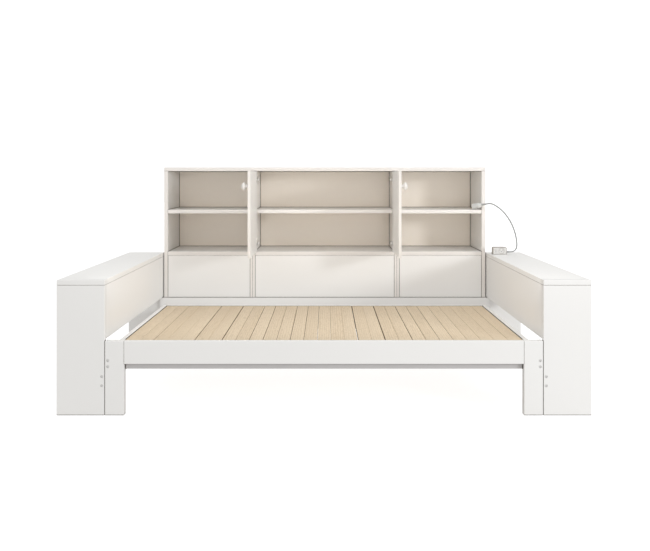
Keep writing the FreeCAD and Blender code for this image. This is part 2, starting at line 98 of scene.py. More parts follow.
class PaintSettings(bpy.types.PropertyGroup):
    """The satin white paint on every board."""
    colour: FloatVectorProperty(
        name="Paint", description="Colour of the painted boards", default=(0.925, 0.908, 0.884), **COLOUR)
    # Painted highlight: the eased edges are painted paler, as if they caught the light.
    edge_highlight_colour: FloatVectorProperty(
        name="Eased edge", description="Colour painted on an eased edge as its highlight",
        default=(0.97, 0.955, 0.93), **COLOUR)
    roughness: FloatProperty(
        name="Roughness", description="Roughness of the satin paint", default=0.35, **SHARE)
    band_colour: FloatVectorProperty(
        name="Edge band", description="Colour of the band on the front edges of the bookcase's boards",
        default=(0.86, 0.822, 0.786), **COLOUR)
    # Painted shade: this near-black colour is painted into joints and corners wherever ambient occlusion finds
    # the surface closed in.
    joint_shade_colour: FloatVectorProperty(
        name="Joint", description="Colour deep in the joints and corners, painted as shade",
        default=(0.085, 0.052, 0.025), **COLOUR)
    joint_reach: FloatProperty(
        name="Joint reach", description="How far a corner's dark line spreads", unit="LENGTH",
        min=0.001, max=0.03, default=0.0065)
    peel_size: FloatProperty(
        name="Roller texture size", description="Width of one dimple the roller leaves", unit="LENGTH",
        min=0.0005, max=0.01, default=0.0022)
    peel_depth: FloatProperty(
        name="Roller texture depth", description="Depth of the roller's dimples", unit="LENGTH",
        min=0.0, max=0.0005, default=0.00003)


class TimberSettings(bpy.types.PropertyGroup):
    """The row of pine slats."""
    count: IntProperty(
        name="Slats", description="Number of slats in the row", min=5, max=60, default=29)
    gap: FloatProperty(
        name="Widest gap", description="Width of the widest gap between two slats", unit="LENGTH",
        min=0.001, max=0.03, default=0.0045)
    edge_radius: FloatProperty(
        name="Edge radius", description="Rounding along a slat's edges", unit="LENGTH",
        min=0.0005, max=0.006, default=0.0013)
    pale: FloatVectorProperty(
        name="Early wood", description="Colour of the pale wood between the grain lines",
        default=(0.755, 0.62, 0.455), **COLOUR)
    # Painted shade: the slats' sides below the rounded top edge are painted this near-black colour, so the gaps
    # between slats read dark.
    sawn: FloatVectorProperty(
        name="Gap shade", description="Colour of the sawn edges down in the gaps",
        default=(0.13, 0.075, 0.035), **COLOUR)
    dark: FloatVectorProperty(
        name="Grain line", description="Colour of the darker grain lines",
        default=(0.645, 0.495, 0.33), **COLOUR)
    roughness: FloatProperty(
        name="Roughness", description="Roughness of the planed timber", default=0.74, **SHARE)
    seed: IntProperty(name="Seed", description="Picks each slat's tone and grain", default=7)


class HardwareSettings(bpy.types.PropertyGroup):
    """Bolts, shelf pins, hinges and knobs."""
    bolt_radius: FloatProperty(
        name="Bolt head radius", description="Radius of a frame bolt's round head", unit="LENGTH",
        min=0.003, max=0.012, default=0.006)
    pin_radius: FloatProperty(
        name="Shelf pin radius", description="Radius of a shelf pin", unit="LENGTH",
        min=0.001, max=0.005, default=0.0025)
    screw_radius: FloatProperty(
        name="Screw head radius", description="Radius of a hinge screw's countersunk head", unit="LENGTH",
        min=0.001, max=0.006, default=0.0036)
    steel: FloatVectorProperty(
        name="Nickel plate", description="Colour of the plated steel", default=(0.86, 0.85, 0.83), **COLOUR)
    knob_colour: FloatVectorProperty(
        name="Knob", description="Colour of the lacquered knobs", default=(0.86, 0.83, 0.80), **COLOUR)


class PowerSettings(bpy.types.PropertyGroup):
    """The power hub, its cord and the plug."""
    shell: FloatVectorProperty(
        name="Hub shell", description="Colour of the hub's moulded case", default=(0.34, 0.32, 0.33), **COLOUR)
    face: FloatVectorProperty(
        name="Hub face", description="Colour of the hub's face", default=(0.43, 0.405, 0.42), **COLOUR)
    cord: FloatVectorProperty(
        name="Cord", description="Colour of the cord's jacket", default=(0.31, 0.315, 0.31), **COLOUR)
    plug: FloatVectorProperty(
        name="Plug", description="Colour of the moulded plug", default=(0.74, 0.74, 0.72), **COLOUR)
    cord_diameter: FloatProperty(
        name="Cord diameter", description="Outer diameter of the cord", unit="LENGTH",
        min=0.003, max=0.012, default=0.008)


class StageSettings(bpy.types.PropertyGroup):
    """Camera, lights and floor."""
    camera_place: FloatVectorProperty(
        name="Camera", description="Where the camera stands", subtype="TRANSLATION", size=3,
        default=(0.0128, -4.589, 1.147))
    lens: FloatProperty(
        name="Lens", description="Focal length on a 36 mm sensor", subtype="DISTANCE_CAMERA",
        min=10.0, max=200.0, default=42.92)
    shift: FloatVectorProperty(
        name="Shift", description="Frame shift that keeps the uprights vertical", size=2,
        default=(-0.0026, -0.1523))
    key_power: FloatProperty(
        name="Key", description="Power of the low soft light on the right", subtype="POWER",
        min=0.0, max=2000.0, default=152.0)
    fill_power: FloatProperty(
        name="Fill", description="Power of the wide light over the front rail", subtype="POWER",
        min=0.0, max=5000.0, default=2.8)
    beam_power: FloatProperty(
        name="Beam", description="Power of the narrow beam into the bookcase", subtype="POWER",
        min=0.0, max=5000.0, default=0.43)
    horizon: FloatProperty(
        name="Horizon", description="Strength of the sky's light near the horizon",
        min=0.0, max=4.0, default=0.61)
    zenith: FloatProperty(
        name="Zenith", description="Strength of the sky's light overhead", min=0.0, max=4.0, default=1.12)
    floor_shade: FloatProperty(name="Floor", description="How pale the floor is", default=0.35, **SHARE)
    floor_glow: FloatProperty(
        name="Floor glow", description="Light the floor gives off by itself", min=0.0, max=1.0, default=0.32)


SETTINGS = {
    "bed_paint": PaintSettings,
    "bed_timber": TimberSettings,
    "bed_hardware": HardwareSettings,
    "bed_power": PowerSettings,
    "bed_stage": StageSettings,
}


# ---- shader helpers
def put(tree, kind, inputs=None, **settings):
    """Adds a node. An input takes a plain value, or a socket to be linked."""
    made = tree.nodes.new(kind)
    for name, value in settings.items():
        setattr(made, name, value)
    for key, value in (inputs or {}).items():
        feed(tree, made.inputs[key], value)
    return made


def feed(tree, socket, value):
    if isinstance(value, bpy.types.NodeSocket):
        tree.links.new(value, socket)
    else:
        socket.default_value = value


def shader_group(name, numbers, masks):
    """New shader node group: its inputs are numbers with their defaults, and it puts out masks."""
    group = bpy.data.node_groups.new(name, "ShaderNodeTree")
    for label, default in numbers.items():
        socket = group.interface.new_socket(name=label, in_out="INPUT", socket_type="NodeSocketFloat")
        socket.default_value = default
    for label in masks:
        group.interface.new_socket(name=label, in_out="OUTPUT", socket_type="NodeSocketFloat")
    return group, group.nodes.new("NodeGroupInput").outputs, group.nodes.new("NodeGroupOutput").inputs


def use_group(tree, name, **inputs):
    """Places a group with its own values, and returns its outputs."""
    made = put(tree, "ShaderNodeGroup", node_tree=bpy.data.node_groups[name])
    for label, value in inputs.items():
        feed(tree, made.inputs[label.replace("_", " ").capitalize()], value)
    return made.outputs


def math_node(tree, operation, first, second=0.0, clamp=False):
    return put(tree, "ShaderNodeMath", {0: first, 1: second}, operation=operation, use_clamp=clamp).outputs[0]


def vector_math(tree, operation, first, second=(0.0, 0.0, 0.0)):
    return put(tree, "ShaderNodeVectorMath", {0: first, 1: second}, operation=operation).outputs[0]


def parts_of(tree, vector):
    """The three components of a vector."""
    return put(tree, "ShaderNodeSeparateXYZ", {0: vector}).outputs


def mapped(tree, value, low, high, to_low=0.0, to_high=1.0):
    return put(tree, "ShaderNodeMapRange", {"Value": value, "From Min": low, "From Max": high,
                                            "To Min": to_low, "To Max": to_high}).outputs[0]


def noise(tree, place, scale, detail):
    return put(tree, "ShaderNodeTexNoise", {"Vector": place, "Scale": scale, "Detail": detail}).outputs["Fac"]


def on_object(tree, output="Object"):
    """The object's own coordinates, or another output of Texture Coordinate."""
    return put(tree, "ShaderNodeTexCoord").outputs[output]


def blended(tree, factor, first, second, blend="MIX"):
    made = put(tree, "ShaderNodeMix", data_type="RGBA", blend_type=blend)
    for key, value in (("Factor", factor), (6, first), (7, second)):
        if isinstance(value, tuple):
            value = (*value, 1.0)
        feed(tree, made.inputs[key], value)
    return made.outputs[2]


def rgb(colour):
    return tuple(colour)[:3]


def scaled(colour, factor):
    return tuple(value * factor for value in colour)


def tinted(colour, tint):
    return tuple(a * b for a, b in zip(colour, tint))


def material(name):
    made = bpy.data.materials.new(name)
    made.use_nodes = True
    return made, made.node_tree, made.node_tree.nodes["Principled BSDF"]


def surface(tree, shader, colour, rough, height, depth):
    """Feeds the shader a colour, a roughness and a height from 0 to 1, which is depth metres in all."""
    bump = put(tree, "ShaderNodeBump", {"Height": height, "Strength": 1.0, "Distance": depth})
    for socket, value in (("Base Color", colour), ("Roughness", rough), ("Normal", bump.outputs["Normal"])):
        tree.links.new(value, shader.inputs[socket])


# ---- shader groups
FLAT_NORMAL, EASED_NORMAL = 0.97, 0.80
OPEN_SURFACE = 0.95
SHIFT_PER_SLAT = (3.1, 17.0, 5.3)


def make_paint_film_group():
    """Slow drift in the paint's tone and the roller's fine dimples."""
    group, given, result = shader_group(
        "Paint film", {"Drift size": 1.6, "Dimple size": 0.0022}, ["Drift", "Dimples"])
    place = on_object(group)
    for size, mask, detail in (("Drift size", "Drift", 2.0), ("Dimple size", "Dimples", 1.0)):
        scale = math_node(group, "DIVIDE", 1.0, given[size])
        group.links.new(noise(group, place, scale, detail), result[mask])


def make_eased_edge_group():
    """Mask of the narrow faces that ease a board's edges: their normals lie between the axes."""
    group, given, result = shader_group("Eased edge", {"Contrast": 1.0}, ["Mask"])
    x, y, z = parts_of(group, vector_math(group, "ABSOLUTE", on_object(group, "Normal")))
    largest = math_node(group, "MAXIMUM", x, math_node(group, "MAXIMUM", y, z))
    mask = mapped(group, largest, FLAT_NORMAL, EASED_NORMAL)
    group.links.new(math_node(group, "MULTIPLY", mask, given["Contrast"], clamp=True), result["Mask"])


def make_joint_shade_group():
    """Mask of the painted shade in joints and corners, from how open the surface is there."""
    group, given, result = shader_group("Joint shade", {"Openness": 1.0, "Closed": 0.62}, ["Mask"])
    group.links.new(mapped(group, given["Openness"], OPEN_SURFACE, given["Closed"]), result["Mask"])


def make_grain_group():
    """Grain lines along Y, shifted by each slat's own number, with fine pores and broad patches."""
    group, given, result = shader_group(
        "Slat grain", {"Number": 0.0, "Line spacing": 0.011}, ["Grain", "Pores", "Patches"])
    shift = put(group, "ShaderNodeCombineXYZ", {
        axis: math_node(group, "MULTIPLY", given["Number"], step)
        for axis, step in enumerate(SHIFT_PER_SLAT)}).outputs[0]
    moved = vector_math(group, "ADD", on_object(group), shift)
    along = vector_math(group, "MULTIPLY", moved, (1.0, 0.07, 1.0))
    lines = put(group, "ShaderNodeTexWave", {
        "Vector": along, "Scale": math_node(group, "DIVIDE", 0.3, given["Line spacing"]),
        "Distortion": 5.5, "Detail": 3.0, "Detail Scale": 1.1, "Detail Roughness": 0.6},
        wave_type="BANDS", bands_direction="X")
    short = vector_math(group, "MULTIPLY", moved, (1.0, 0.12, 1.0))
    group.links.new(lines.outputs["Fac"], result["Grain"])
    group.links.new(noise(group, short, 260.0, 4.0), result["Pores"])
    group.links.new(noise(group, along, 9.0, 2.0), result["Patches"])


def make_fine_grit_group():
    """Even fine grain of moulded plastic, or the faint unevenness of plated metal."""
    group, given, result = shader_group("Fine grit", {"Grain size": 0.0008}, ["Grit", "Smudge"])
    place = on_object(group)
    scale = math_node(group, "DIVIDE", 1.0, given["Grain size"])
    group.links.new(noise(group, place, scale, 2.0), result["Grit"])
    group.links.new(noise(group, place, 45.0, 3.0), result["Smudge"])


# ---- materials
def paint_material(name, settings, tint=(1.0, 1.0, 1.0), band=None):
    """Satin paint: slow tone drift, roller dimples, a painted highlight on the eased edges, painted shade in
    the joints.

    With a band factor, the faces that look forwards carry the edge band's colour, times the factor.
    """
    made, tree, shader = material(name)
    film = use_group(tree, "Paint film", drift_size=1.6, dimple_size=settings.peel_size)
    edge = use_group(tree, "Eased edge", contrast=0.8)
    base = tinted(settings.colour, tint)
    face = blended(tree, mapped(tree, film["Drift"], 0.3, 0.7), scaled(base, 0.965), base)
    # Painted highlight: the eased edges take the paler edge highlight colour.
    colour = blended(tree, edge["Mask"], face, tinted(settings.edge_highlight_colour, tint))
    if band is not None:
        forwards = mapped(tree, parts_of(tree, on_object(tree, "Normal"))[1], -0.5, -0.8)
        colour = blended(tree, forwards, colour, scaled(settings.band_colour, band))
    # Painted shade: ambient occlusion darkens the paint towards the joint shade colour in joints and corners.
    around = put(tree, "ShaderNodeAmbientOcclusion", {"Distance": settings.joint_reach}, samples=6)
    joint = use_group(tree, "Joint shade", openness=around.outputs["AO"])
    colour = blended(tree, joint["Mask"], colour, rgb(settings.joint_shade_colour))
    rough = mapped(tree, film["Dimples"], 0.2, 0.8, settings.roughness - 0.05, settings.roughness + 0.06)
    surface(tree, shader, colour, rough, film["Dimples"], settings.peel_depth)
    return made


def timber_material(name, settings):
    """Planed pine: grain lines and pores, a tone for each slat, and painted shade on the slats' sides down in
    the gaps.
    """
    made, tree, shader = material(name)
    number = put(tree, "ShaderNodeAttribute", attribute_name="slat_number").outputs["Fac"]
    grain = use_group(tree, "Slat grain", number=number, line_spacing=0.011)
    lines = math_node(tree, "MULTIPLY", mapped(tree, grain["Grain"], 0.15, 0.95),
                      mapped(tree, grain["Patches"], 0.25, 0.8, 0.15, 0.8))
    wood = blended(tree, lines, rgb(settings.pale), rgb(settings.dark))
    pores = mapped(tree, grain["Pores"], 0.48, 0.72, 0.0, 0.5)
    pored = blended(tree, pores, wood, scaled(settings.dark, 0.72))
    tone_spans = ((0.965, 1.02), (0.96, 1.025), (0.95, 1.03))
    tone = put(tree, "ShaderNodeCombineColor", {
        channel: mapped(tree, number, 0.0, 1.0, *span) for channel, span in enumerate(tone_spans)})
    toned = blended(tree, 1.0, pored, tone.outputs[0], "MULTIPLY")
    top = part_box("bed_slats")[1][2]
    sideways = parts_of(tree, vector_math(tree, "ABSOLUTE", on_object(tree, "Normal")))[0]
    below = mapped(tree, parts_of(tree, on_object(tree))[2],
                   top - settings.edge_radius * 0.8, top - settings.edge_radius * 2.0)
    # Painted shade on the sides of the slats, below the rounded top edge.
    sawn = math_node(tree, "MULTIPLY", below, mapped(tree, sideways, 0.5, 0.8))
    colour = blended(tree, sawn, toned, rgb(settings.sawn))
    rough = mapped(tree, grain["Pores"], 0.2, 0.8, settings.roughness - 0.06, settings.roughness + 0.1)
    height = math_node(tree, "SUBTRACT", grain["Grain"], grain["Pores"])
    surface(tree, shader, colour, rough, height, 0.12 * MM)
    shader.inputs["Specular IOR Level"].default_value = 0.2
    return made


def metal_material(name, colour, roughness):
    made, tree, shader = material(name)
    grit = use_group(tree, "Fine grit", grain_size=0.0006)
    tone = blended(tree, grit["Smudge"], scaled(colour, 0.9), rgb(colour))
    rough = mapped(tree, grit["Smudge"], 0.25, 0.75, roughness - 0.08, roughness + 0.1)
    surface(tree, shader, tone, rough, grit["Grit"], 0.01 * MM)
    shader.inputs["Metallic"].default_value = 1.0
    return made


def plastic_material(name, colour, roughness, grain_size=0.0008, depth=0.00003, coat=0.0):
    made, tree, shader = material(name)
    grit = use_group(tree, "Fine grit", grain_size=grain_size)
    tone = blended(tree, grit["Smudge"], scaled(colour, 0.94), rgb(colour))
    rough = mapped(tree, grit["Grit"], 0.2, 0.8, roughness - 0.05, roughness + 0.06)
    surface(tree, shader, tone, rough, grit["Grit"], depth)
    shader.inputs["Coat Weight"].default_value = coat
    shader.inputs["Coat Roughness"].default_value = 0.2
    return made


MAKERS = {
    "painted_board": lambda name, s: paint_material(name, s.bed_paint),
    "banded_board": lambda name, s: paint_material(name, s.bed_paint, band=1.0),
    "door_paint": lambda name, s: paint_material(name, s.bed_paint, band=0.94),
    "shaded_back": lambda name, s: paint_material(name, s.bed_paint, (1.05, 0.982, 0.90)),
    # Painted shade: the ledgers sit behind and under the rails, so their paint is darkened to the shade they
    # stand in.
    "batten_paint": lambda name, s: paint_material(name, s.bed_paint, (0.64, 0.63, 0.64)),
    "pine_slat": lambda name, s: timber_material(name, s.bed_timber),
    "nickel_plate": lambda name, s: metal_material(name, s.bed_hardware.steel, 0.36),
    "plug_pin_metal": lambda name, s: metal_material(name, (0.70, 0.64, 0.48), 0.28),
    "hinge_enamel": lambda name, s: plastic_material(name, (0.94, 0.935, 0.92), 0.25, 0.002, 0.00001, 0.6),
    "knob_lacquer": lambda name, s: plastic_material(
        name, s.bed_hardware.knob_colour, 0.3, 0.003, 0.00002, 0.3),
    "hub_shell": lambda name, s: plastic_material(name, s.bed_power.shell, 0.5),
    "hub_face": lambda name, s: plastic_material(name, s.bed_power.face, 0.42),
    "cord_jacket": lambda name, s: plastic_material(name, s.bed_power.cord, 0.55, 0.0012),
    "plug_moulding": lambda name, s: plastic_material(name, s.bed_power.plug, 0.4),
    "plug_rim_moulding": lambda name, s: plastic_material(name, (0.93, 0.925, 0.91), 0.35),
    "relief_rubber": lambda name, s: plastic_material(name, (0.42, 0.42, 0.415), 0.6, 0.0012),
    "socket_dark": lambda name, s: plastic_material(name, (0.12, 0.115, 0.12), 0.5),
}


def finish_named(name):
    """The named material, made on first use from the scene's settings."""
    return bpy.data.materials.get(name) or MAKERS[name](name, bpy.context.scene)


def dress(piece, finish, body, slot, *stands_for):
    """Gives a new piece its finish and its body, and hides the nodes it stands for. The slot is not used."""
    piece.data.materials.clear()
    piece.data.materials.append(finish_named(finish))
    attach(piece, body)
    if stands_for:
        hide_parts(*stands_for)
    return piece


def coat_nodes(finish, *names):
    """Puts a finish on frame nodes that keep their own shape."""
    for name in names:
        data = frame["nodes"][name].data
        data.materials.clear()
        data.materials.append(finish_named(finish))


# ---- mesh tools
SMOOTH_ANGLE = math.radians(35)


def new_object(name, data):
    """New object of a mesh, curve, light or camera, in the scene."""
    made = bpy.data.objects.new(name, data)
    bpy.context.scene.collection.objects.link(made)
    return made


def from_bmesh(name, work, smooth_angle=SMOOTH_ANGLE):
    """Closes doubles, turns faces outwards and makes the object, smooth below the given angle."""
    bmesh.ops.remove_doubles(work, verts=work.verts, dist=0.000005)
    bmesh.ops.recalc_face_normals(work, faces=work.faces)
    mesh = bpy.data.meshes.new(name)
    work.to_mesh(mesh)
    work.free()
    made = new_object(name, mesh)
    mesh.shade_smooth()
    mesh.set_sharp_from_angle(angle=smooth_angle)
    return made


def lathe(work, outline, steps):
    """Spins (distance, radius) points about Z. A point on the axis closes the shape there."""
    rings = []
    for distance, radius in outline:
        turns = [2 * math.pi * step / steps for step in range(steps if radius > 1e-7 else 1)]
        rings.append([work.verts.new((radius * math.cos(turn), radius * math.sin(turn), distance))
                      for turn in turns])
    for lower, upper in zip(rings, rings[1:]):
        for step in range(steps):
            following = (step + 1) % steps
            corners = [lower[step % len(lower)], lower[following % len(lower)],
                       upper[following % len(upper)], upper[step % len(upper)]]
            unique = list(dict.fromkeys(corners))
            if len(unique) > 2:
                work.faces.new(unique)


def turned(name, outline, steps, place=None, smooth_angle=SMOOTH_ANGLE):
    """New object of one lathed outline, moved by its place's matrix."""
    work = bmesh.new()
    lathe(work, outline, steps)
    if place is not None:
        bmesh.ops.transform(work, matrix=place, verts=work.verts)
    return from_bmesh(name, work, smooth_angle)


def arc(centre, radius, start, end, steps):
    """(distance, radius) points on a quarter or other arc of an outline, angles in degrees."""
    turns = [math.radians(start + (end - start) * step / steps) for step in range(steps + 1)]
    return [(centre[0] + radius * math.sin(turn), centre[1] + radius * math.cos(turn)) for turn in turns]


def rounded_box(work, low, high, radius, segments=3):
    """Box with all its edges rounded."""
    size = Vector(high) - Vector(low)
    middle = (Vector(high) + Vector(low)) / 2
    matrix = Matrix.Translation(middle) @ Matrix.Diagonal((*size, 1.0))
    made = bmesh.ops.create_cube(work, size=1.0, matrix=matrix)
    edges = dict.fromkeys(edge for vert in made["verts"] for edge in vert.link_edges)
    bmesh.ops.bevel(work, geom=list(edges), offset=radius, segments=segments, profile=0.5, affect="EDGES")


def skin(work, rings, capped=True):
    """Walls between rings of the same count, with a cap on the first and the last."""
    for lower, upper in zip(rings, rings[1:]):
        for step in range(len(lower)):
            following = (step + 1) % len(lower)
            work.faces.new((lower[step], lower[following], upper[following], upper[step]))
    if capped:
        work.faces.new(rings[0])
        work.faces.new(rings[-1])


def aimed(place, direction):
    """Matrix that puts Z along a direction at a place."""
    return Matrix.Translation(Vector(place)) @ Vector(direction).to_track_quat("Z", "Y").to_matrix().to_4x4()


# ---- geometry trees
WIDTH = "width"


def geometry_group(name, sockets_in):
    tree = bpy.data.node_groups.new(name, "GeometryNodeTree")
    for label, kind in sockets_in.items():
        tree.interface.new_socket(name=label, in_out="INPUT", socket_type=kind)
    tree.interface.new_socket(name="Geometry", in_out="OUTPUT", socket_type="NodeSocketGeometry")
    return tree, tree.nodes.new("NodeGroupInput").outputs, tree.nodes.new("NodeGroupOutput")


def end_tree(tree, instances, finish, result):
    """Realises the instances and gives them their finish."""
    real = put(tree, "GeometryNodeRealizeInstances", {0: instances})
    painted = put(tree, "GeometryNodeSetMaterial", {"Geometry": real.outputs[0], "Material": finish})
    tree.links.new(painted.outputs[0], result.inputs[0])


def row_tree():
    """Lays one board at each place, as wide as the place says, and numbers each copy at random."""
    tree, given, result = geometry_group("Slat row", {
        "Places": "NodeSocketGeometry", "Board": "NodeSocketObject", "Seed": "NodeSocketInt",
        "Finish": "NodeSocketMaterial"})
    width = put(tree, "GeometryNodeInputNamedAttribute", {"Name": WIDTH}, data_type="FLOAT")
    stretch = put(tree, "ShaderNodeCombineXYZ", {0: width.outputs[0], 1: 1.0, 2: 1.0})
    board = put(tree, "GeometryNodeObjectInfo", {"Object": given["Board"], "As Instance": True})
    copies = put(tree, "GeometryNodeInstanceOnPoints", {
        "Points": given["Places"], "Instance": board.outputs["Geometry"], "Scale": stretch.outputs[0]})
    number = put(tree, "FunctionNodeRandomValue", {"Seed": given["Seed"]}, data_type="FLOAT")
    named = put(tree, "GeometryNodeStoreNamedAttribute", {
        "Geometry": copies.outputs[0], "Name": "slat_number"}, data_type="FLOAT", domain="INSTANCE")
    tree.links.new(number.outputs[1], named.inputs["Value"])
    end_tree(tree, named.outputs[0], given["Finish"], result)
    return tree


def set_tree():
    """Sets one small piece at every point, turned the given way and spun at random about itself."""
    tree, given, result = geometry_group("Set pieces", {
        "Places": "NodeSocketGeometry", "Piece": "NodeSocketObject", "Turn": "NodeSocketRotation",
        "Spin": "NodeSocketFloat", "Seed": "NodeSocketInt", "Finish": "NodeSocketMaterial"})
    piece = put(tree, "GeometryNodeObjectInfo", {"Object": given["Piece"], "As Instance": True})
    spin = put(tree, "FunctionNodeRandomValue", {"Seed": given["Seed"]}, data_type="FLOAT")
    tree.links.new(given["Spin"], spin.inputs[3])
    about = put(tree, "FunctionNodeAxisAngleToRotation", {"Axis": (0, 0, 1), "Angle": spin.outputs[1]})
    turn = put(tree, "FunctionNodeRotateRotation", {
        "Rotation": given["Turn"], "Rotate By": about.outputs[0]}, rotation_space="LOCAL")
    copies = put(tree, "GeometryNodeInstanceOnPoints", {
        "Points": given["Places"], "Instance": piece.outputs["Geometry"], "Rotation": turn.outputs[0]})
    end_tree(tree, copies.outputs[0], given["Finish"], result)
    return tree


def grown(name, tree, inputs, places=(), widths=()):
    """Runs a geometry tree on the given points, and keeps its result as a plain mesh."""
    mesh = bpy.data.meshes.new(name + "_points")
    mesh.from_pydata([tuple(place) for place in places], [], [])
    if widths:
        mesh.attributes.new(WIDTH, "FLOAT", "POINT").data.foreach_set("value", widths)
    carrier = new_object(name + "_carrier", mesh)
    modifier = carrier.modifiers.new("tree", "NODES")
    modifier.node_group = tree
    for socket in tree.interface.items_tree:
        if socket.in_out == "INPUT" and socket.name in inputs:
            modifier[socket.identifier] = inputs[socket.name]
    evaluated = carrier.evaluated_get(bpy.context.evaluated_depsgraph_get())
    result = bpy.data.meshes.new_from_object(evaluated)
    result.name = name
    bpy.data.objects.remove(carrier)
    return new_object(name, result)


def set_out(name, piece, places, direction, finish, spin=0.0, seed=1):
    """Sets copies of a small piece at the places, its Z along the direction, and drops the pattern."""
    tree = bpy.data.node_groups.get("Set pieces") or set_tree()
    turn = Vector(direction).to_track_quat("Z", "Y").to_euler()
    made = grown(name, tree, {"Piece": piece, "Turn": turn, "Spin": spin, "Seed": seed,
                              "Finish": finish_named(finish)}, places)
    bpy.data.objects.remove(piece)
    return made


# ---- the boards
BANDED = ("bookcase_", "middle_shelf_", "deck_shelves")
OWN_PAINT = {
    "shaded_back": ("back_panel",),
    "door_paint": tuple(DOORS.values()),
    # Painted shade on the ledgers under the rails.
    "batten_paint": ("front_ledger", "rear_ledger"),
}


class BED_OT_paint_boards(bpy.types.Operator):
    """Paints every board of the bed, its cabinets and its bookcase"""
    bl_idname = "bed.paint_boards"
    bl_label = "Paint boards"

    def execute(self, context):
        for entry in frame["record"]["subparts"]:
            if entry["material_slot"] == BOARD_SLOT:
                banded = entry["node"].startswith(BANDED)
                coat_nodes("banded_board" if banded else "painted_board", entry["node"])
        for finish, names in OWN_PAINT.items():
            coat_nodes(finish, *names)
        return {"FINISHED"}


END_SLAT_REACH = 4.0 * MM
# Each gap between two slats as a share of the widest: most are pressed close, a few stand open.
GAP_SHARES = (0.25, 0.45, 0.06, 0.06, 0.75, 0.1, 0.9, 0.25, 0.5, 0.5, 0.3, 0.5, 0.4, 0.4,
              0.15, 0.06, 1.0, 0.06, 1.0, 0.2, 0.65, 0.45, 0.45, 0.4, 0.25, 0.2, 0.2, 0.35)


class BED_OT_lay_slats(bpy.types.Operator):
    """Lays the row of pine slats on the ledgers"""
    bl_idname = "bed.lay_slats"
    bl_label = "Lay slats"

    def execute(self, context):
        timber = context.scene.bed_timber
        low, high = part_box("bed_slats")
        reach = high[0] + END_SLAT_REACH
        pitch = (high[0] - low[0]) / timber.count
        work = bmesh.new()
        rounded_box(work, (-pitch / 2, low[1], low[2]), (pitch / 2, high[1], high[2]), timber.edge_radius)
        board = from_bmesh("slat_pattern", work)
        starts, ends = [-reach], []
        for index in range(timber.count - 1):
            gap = timber.gap * GAP_SHARES[index % len(GAP_SHARES)]
            joint = low[0] + pitch * (index + 1)
            ends.append(joint - gap / 2)
            starts.append(joint + gap / 2)
        ends.append(reach)
        slats = grown("slats", row_tree(), {
            "Board": board, "Seed": timber.seed, "Finish": finish_named("pine_slat")},
            [((start + end) / 2, 0.0, 0.0) for start, end in zip(starts, ends)],
            [(end - start) / pitch for start, end in zip(starts, ends)])
        bpy.data.objects.remove(board)
        dress(slats, "pine_slat", ROOT, "slat_timber", "bed_slats")
        return {"FINISHED"}


# ---- fasteners
# The bolts of the tie rails, then of the stretchers: distance from the middle, and heights.
BOLT_ROWS = ((1.038, (0.234, 0.263)), (1.067, (0.143, 0.187)))
BOLT_DEPTH = 0.6 * MM
BOLT_SPIN, SCREW_SPIN = 1.05, 1.5
PIN_LENGTH = 16.0 * MM
PIN_INSET = 40.0 * MM
HEAD_STEPS = 24


def cut_recess(work, rim_height, reach, floor_share, floor_height):
    """Fills the open rim at a height with a driver's recess, reach(turn) wide, down to a flat floor."""
    edge = [vert for vert in work.verts if abs(vert.co.z - rim_height) < 1e-7]
    edge.sort(key=lambda vert: math.atan2(vert.co.y, vert.co.x))
    inner = []
    for vert in edge:
        turn = math.atan2(vert.co.y, vert.co.x)
        radius = reach(turn)
        inner.append(work.verts.new((radius * math.cos(turn), radius * math.sin(turn), rim_height)))
    floor = [work.verts.new((vert.co.x * floor_share, vert.co.y * floor_share, floor_height)) for vert in inner]
    skin(work, (edge, inner, floor), capped=False)
    work.faces.new(floor)


def bolt_head(radius):
    """Low button head with a hexagonal socket, its top at Z 0."""
    work = bmesh.new()
    socket = radius * 0.44
    crown = 0.9 * MM
    outline = [(-2.4 * MM, 0), (-2.4 * MM, radius), (-crown, radius)]
    outline += arc((-crown, radius - crown), crown, 0, 70, 3)
    outline += [(0, socket + 0.25 * MM)]
    lathe(work, outline, HEAD_STEPS)
    sixth = math.pi / 3

    def hexagon(turn):
        return socket * math.cos(sixth / 2) / math.cos((turn + sixth / 2) % sixth - sixth / 2)

    cut_recess(work, 0.0, hexagon, 1.0, -1.6 * MM)
    return from_bmesh("bolt_pattern", work)


def screw_head(radius):
    """Countersunk head with a cross recess, its rim at Z 0."""
    work = bmesh.new()
    crown = 0.35 * MM
    lathe(work, [(-1.2 * MM, 0), (-1.2 * MM, radius * 0.55), (0, radius), (crown * 0.7, radius * 0.72),
                 (crown, radius * 0.62)], HEAD_STEPS)
    quarter = math.pi / 2

    def cross(turn):
        return radius * (0.5 if min(turn % quarter, quarter - turn % quarter) < 0.2 else 0.17)

    cut_recess(work, crown, cross, 0.8, -0.6 * MM)
    return from_bmesh("screw_pattern", work)


def shelf_pin(radius):
    """Round pin with a domed end and a thin collar where it meets the upright."""
    half = PIN_LENGTH / 2
    collar = radius * 1.5
    outline = [(-half, 0), (-half, radius * 0.8), (-half + 0.4 * MM, radius), (0.0, radius), (0.0, collar),
               (0.8 * MM, collar), (0.8 * MM, radius)]
    outline += arc((half - radius * 0.6, radius * 0.4), radius * 0.6, 0, 90, 4)
    return turned("pin_pattern", outline + [(half, 0)], 20)


class BED_OT_set_bolts(bpy.types.Operator):
    """Sets the frame bolts in the legs and the cabinets' front panels"""
    bl_idname = "bed.set_bolts"
    bl_label = "Set bolts"

    def execute(self, context):
        head = bolt_head(context.scene.bed_hardware.bolt_radius)
        front = CAD_BOX[0][1] + BOLT_DEPTH
        places = [(side * x, front, z) for side in (-1, 1) for x, heights in BOLT_ROWS for z in heights]
        bolts = set_out("frame_bolt_heads", head, places, (0, -1, 0), "nickel_plate", BOLT_SPIN, 3)
        dress(bolts, "nickel_plate", ROOT, "hardware_steel", "frame_bolts")
        return {"FINISHED"}


